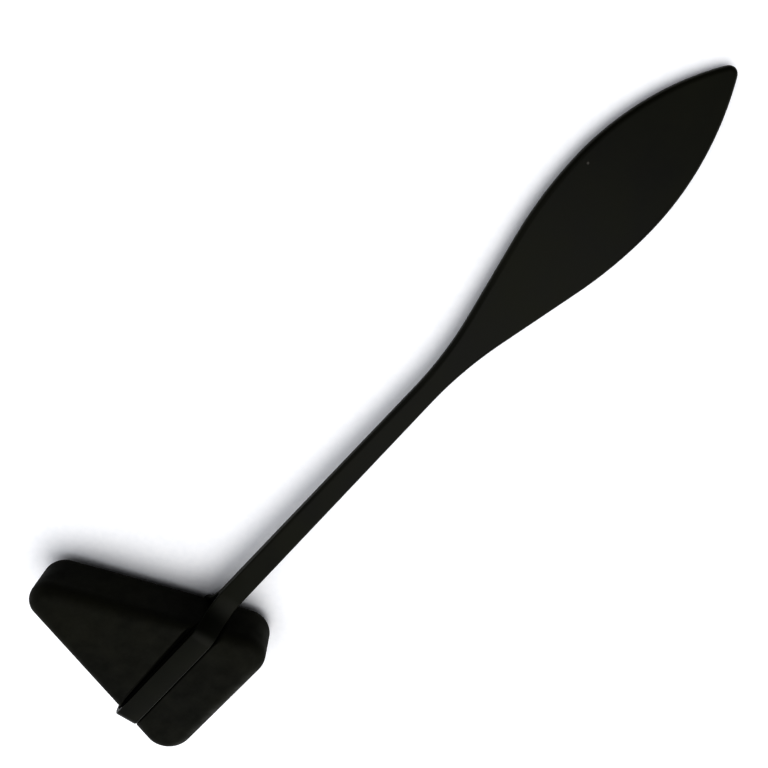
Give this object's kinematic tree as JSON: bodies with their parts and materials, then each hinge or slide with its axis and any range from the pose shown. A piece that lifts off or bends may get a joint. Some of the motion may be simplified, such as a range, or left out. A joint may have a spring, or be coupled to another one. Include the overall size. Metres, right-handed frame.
{
  "type": "reflex hammer",
  "caption": "Percussion hammer with a flat leaf-shaped grip whose strip loop holds a triangular rubber head.",
  "frame": {"origin": "on the resting face of the loop's back arm, where the handle's centre line crosses the head", "axes": "+X along the handle from the head to the tip of the grip, +Y from the rubber's flat base to its apex, +Z through the thickness, from the back arm to the front arm"},
  "size_m": [0.1918, 0.0524, 0.0136],
  "materials": {
    "rubber": "moulded black rubber, satin",
    "loop_paint": "satin black enamel on bent steel strip",
    "handle_paint": "satin black enamel on flat steel bar"
  },
  "bodies": {
    "root": {"rubber_head": "rubber", "head_loop": "loop_paint", "handle": "handle_paint"}
  },
  "joints": []
}
